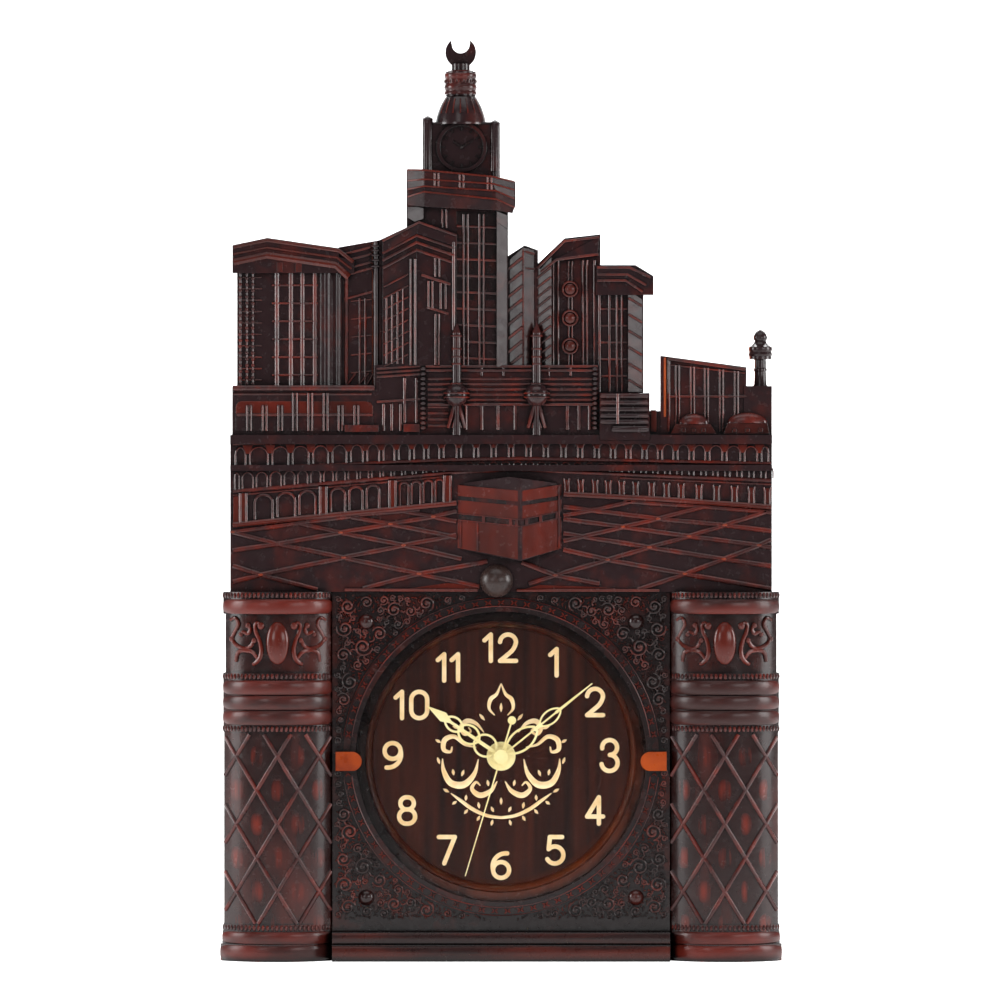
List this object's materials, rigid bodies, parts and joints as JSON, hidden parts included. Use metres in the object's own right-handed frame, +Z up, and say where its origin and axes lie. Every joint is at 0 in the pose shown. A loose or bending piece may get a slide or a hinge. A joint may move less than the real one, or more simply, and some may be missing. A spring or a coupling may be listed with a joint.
{
  "type": "azan clock",
  "caption": "Standing or hanging quartz clock with a prayer-call unit: round dial between pillars under a moulded skyline with a clock tower, domes and minarets.",
  "frame": {"origin": "middle of the underside of the base, on the surface that the clock stands on", "axes": "+Z up, -Y out of the dial towards the viewer, +X to the viewer's right"},
  "size_m": [0.281, 0.046, 0.4609],
  "materials": {
    "mahogany_plastic": "glossy dark brown-red moulded plastic with worn red ridges",
    "amber_plastic": "unpainted amber plastic",
    "cover_plastic": "unpainted brown plastic, fine grain",
    "dial_brown": "dark brown print with fine upright grain",
    "gold_foil": "cream gold foil",
    "hand_brass": "pale polished brass",
    "lens_clear": "clear flat plastic",
    "steel": "zinc-plated",
    "black_plastic": "moulded",
    "grey_plastic": "moulded",
    "smoked_button": "glossy smoked grey-brown",
    "gear_nylon": "natural nylon",
    "copper": "enamelled copper wire",
    "board_green": "solder mask",
    "cell_wrap": "plain printed sleeve",
    "display_glass": "liquid crystal glass",
    "paper_cone": "pressed paper",
    "wire_red": "soft insulation"
  },
  "bodies": {
    "case": {"dial_frame": "mahogany_plastic", "pillar_left": "mahogany_plastic", "pillar_right": "mahogany_plastic", "skyline_panel": "mahogany_plastic", "lens_clip_left": "amber_plastic", "lens_clip_right": "amber_plastic", "pillar_screws": "steel", "back_cover": "cover_plastic", "cover_screws": "steel", "corner_studs": "mahogany_plastic", "lens": "lens_clear", "dial_plate": "dial_brown", "dial_screws": "steel", "dial_numerals": "gold_foil", "dial_ornament": "gold_foil", "movement_case": "black_plastic", "movement_cover": "black_plastic", "motor_coil": "copper", "motor_stator": "steel", "movement_board": "board_green", "movement_cell": "cell_wrap", "movement_contacts": "steel", "dial_washer": "hand_brass", "dial_nut": "hand_brass", "button_spring": "steel", "sound_board": "board_green", "board_screws": "steel", "tact_switches": "black_plastic", "setting_display": "display_glass", "display_window": "lens_clear", "volume_pot": "steel", "slide_switch": "steel", "speaker_frame": "steel", "speaker_magnet": "steel", "speaker_cone": "paper_cone", "speaker_screws": "steel", "aa_cells": "cell_wrap", "battery_contacts": "steel", "wires": "wire_red"},
    "second_work": {"second_hand": "hand_brass", "seconds_wheel": "gear_nylon"},
    "minute_work": {"minute_hand": "hand_brass", "centre_wheel": "gear_nylon"},
    "hour_work": {"hour_hand": "hand_brass", "hour_wheel": "gear_nylon"},
    "rotor_work": {"rotor": "gear_nylon"},
    "intermediate_work": {"intermediate_wheel": "gear_nylon"},
    "third_work": {"third_wheel": "gear_nylon"},
    "motion_work": {"motion_wheel": "gear_nylon", "set_knob": "grey_plastic"},
    "azan_push": {"azan_button": "smoked_button", "button_retainer": "steel"},
    "set_push_1": {"set_button_1": "grey_plastic"},
    "set_push_2": {"set_button_2": "grey_plastic"},
    "set_push_3": {"set_button_3": "grey_plastic"},
    "set_push_4": {"set_button_4": "grey_plastic"},
    "volume_turn": {"volume_knob": "grey_plastic"},
    "power_slide": {"power_switch": "black_plastic"},
    "battery_lid": {"battery_door": "cover_plastic"}
  },
  "joints": [
    {"name": "second_spin", "type": "hinge", "parent": "case", "child": "second_work", "pos_m": [0, 0, 0.102], "axis": [0, 1, 0], "continuous": true},
    {"name": "minute_spin", "type": "hinge", "parent": "case", "child": "minute_work", "pos_m": [0, 0, 0.102], "axis": [0, 1, 0], "continuous": true},
    {"name": "hour_spin", "type": "hinge", "parent": "case", "child": "hour_work", "pos_m": [0, 0, 0.102], "axis": [0, 1, 0], "continuous": true},
    {"name": "rotor_spin", "type": "hinge", "parent": "case", "child": "rotor_work", "pos_m": [-0.01262, 0, 0.11393], "axis": [0, 1, 0], "continuous": true},
    {"name": "intermediate_spin", "type": "hinge", "parent": "case", "child": "intermediate_work", "pos_m": [-0.00954, 0, 0.10547], "axis": [0, 1, 0], "continuous": true},
    {"name": "third_spin", "type": "hinge", "parent": "case", "child": "third_work", "pos_m": [0.00951, 0, 0.10546], "axis": [0, 1, 0], "continuous": true},
    {"name": "motion_spin", "type": "hinge", "parent": "case", "child": "motion_work", "pos_m": [-0.00094, 0, 0.11276], "axis": [0, 1, 0], "continuous": true},
    {"name": "azan_press", "type": "slide", "parent": "case", "child": "azan_push", "axis": [0, 1, 0], "range_m": [0, 0.002], "stiffness_N_per_m": 300, "springref_m": -0.002, "deforming": ["button_spring"]},
    {"name": "set_press_1", "type": "slide", "parent": "case", "child": "set_push_1", "axis": [0, -1, 0], "range_m": [0, 0.0005], "stiffness_N_per_m": 1200, "springref_m": -0.0005},
    {"name": "set_press_2", "type": "slide", "parent": "case", "child": "set_push_2", "axis": [0, -1, 0], "range_m": [0, 0.0005], "stiffness_N_per_m": 1200, "springref_m": -0.0005},
    {"name": "set_press_3", "type": "slide", "parent": "case", "child": "set_push_3", "axis": [0, -1, 0], "range_m": [0, 0.0005], "stiffness_N_per_m": 1200, "springref_m": -0.0005},
    {"name": "set_press_4", "type": "slide", "parent": "case", "child": "set_push_4", "axis": [0, -1, 0], "range_m": [0, 0.0005], "stiffness_N_per_m": 1200, "springref_m": -0.0005},
    {"name": "volume_spin", "type": "hinge", "parent": "case", "child": "volume_turn", "pos_m": [-0.024, 0.02, 0.22], "axis": [0, 1, 0], "range_deg": [-150, 150]},
    {"name": "power_move", "type": "slide", "parent": "case", "child": "power_slide", "axis": [1, 0, 0], "range_m": [0, 0.004]},
    {"name": "battery_lid_lift", "type": "slide", "parent": "case", "child": "battery_lid", "axis": [0, 1, 0], "range_m": [0, 0.03]}
  ],
  "couplings": [
    {"joint": "minute_spin", "follows": "second_spin", "ratio": 0.016667},
    {"joint": "hour_spin", "follows": "second_spin", "ratio": 0.0013889},
    {"joint": "rotor_spin", "follows": "second_spin", "ratio": 30},
    {"joint": "intermediate_spin", "follows": "second_spin", "ratio": -6},
    {"joint": "third_spin", "follows": "second_spin", "ratio": -0.13333},
    {"joint": "motion_spin", "follows": "second_spin", "ratio": -0.0055556}
  ]
}
